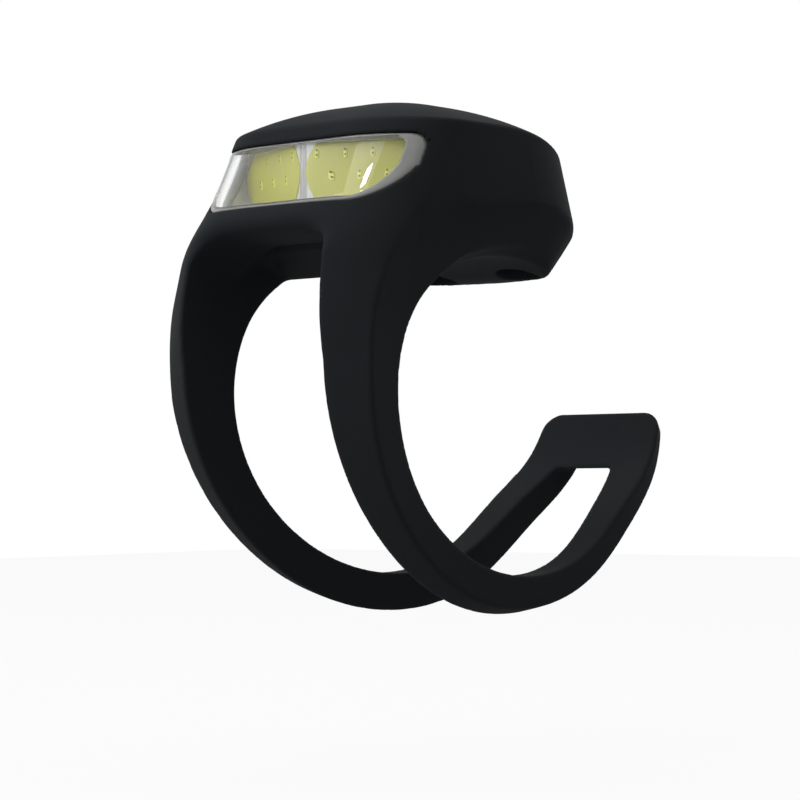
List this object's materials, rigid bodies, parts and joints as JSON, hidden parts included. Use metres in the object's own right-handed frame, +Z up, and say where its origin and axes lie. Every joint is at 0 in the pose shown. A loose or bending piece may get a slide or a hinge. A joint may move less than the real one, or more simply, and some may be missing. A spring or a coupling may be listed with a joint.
{
  "type": "bicycle headlight",
  "caption": "Clip-on bicycle headlight: a sealed light pod in a rubber skin whose split strap loops under the handlebar, with a wide window, press pad and coin-cell door.",
  "frame": {"origin": "axis of the largest handlebar that the saddle takes, at the light's middle plane", "axes": "+X along the handlebar, -Y the way the light shines, +Z up"},
  "size_m": [0.0332, 0.0625, 0.0548],
  "materials": {
    "silicone_black": "matte",
    "seal_grey": "satin",
    "pod_black": "fine texture",
    "carrier_white": "satin",
    "lens_clear": "polished",
    "board_white": "satin",
    "phosphor_yellow": "satin",
    "chip_pale": "gloss",
    "lead_amber": "gloss",
    "board_green": "gloss",
    "package_black": "matte",
    "switch_metal": "satin",
    "plunger_brown": "satin",
    "spring_steel": "satin",
    "cell_steel": "polished",
    "screw_steel": "satin"
  },
  "bodies": {
    "light_body": {"rubber_skin": "silicone_black", "pod_seal": "seal_grey", "pod_upper_shell": "pod_black", "pod_lower_shell": "pod_black", "cell_holder": "pod_black", "led_carrier": "carrier_white", "window_lens": "lens_clear", "led_board_right": "board_white", "led_board_left": "board_white", "phosphor_right": "phosphor_yellow", "phosphor_left": "phosphor_yellow", "led_chips_right": "chip_pale", "led_chips_left": "chip_pale", "led_lead_right": "lead_amber", "led_lead_left": "lead_amber", "main_board": "board_green", "led_driver": "package_black", "mode_controller": "package_black", "chip_resistors": "package_black", "switch_body": "switch_metal", "positive_clip": "spring_steel", "cell_lower": "cell_steel", "cell_upper": "cell_steel", "pod_screws": "screw_steel"},
    "strap_legs": {"strap_leg_right": "silicone_black", "strap_leg_left": "silicone_black"},
    "strap_end": {"strap_tail": "silicone_black"},
    "mode_pad": {"press_pad": "silicone_black"},
    "plunger": {"switch_plunger": "plunger_brown"},
    "battery_hatch": {"battery_door": "pod_black", "door_seal": "seal_grey", "negative_contact": "spring_steel"}
  },
  "joints": [
    {"name": "front_flex", "type": "hinge", "parent": "light_body", "child": "strap_legs", "pos_m": [0, -0.02369, 0.00097], "axis": [1, 0, 0], "range_deg": [-12, 6], "stiffness_Nm_per_rad": 0.05},
    {"name": "tail_flex", "type": "hinge", "parent": "strap_legs", "child": "strap_end", "pos_m": [0, 0.00551, -0.02123], "axis": [1, 0, 0], "range_deg": [-25, 34], "stiffness_Nm_per_rad": 0.05},
    {"name": "pad_press", "type": "slide", "parent": "light_body", "child": "mode_pad", "axis": [0, 0, -1], "range_m": [0, 0.00045], "stiffness_N_per_m": 300},
    {"name": "plunger_press", "type": "slide", "parent": "light_body", "child": "plunger", "axis": [0, 0, -1], "range_m": [0, 0.0005]},
    {"name": "door_turn", "type": "hinge", "parent": "light_body", "child": "battery_hatch", "pos_m": [0, 0, 0.0176], "axis": [0, 0, 1], "range_deg": [0, 60]}
  ],
  "couplings": [
    {"joint": "plunger_press", "follows": "pad_press", "ratio": 1}
  ]
}
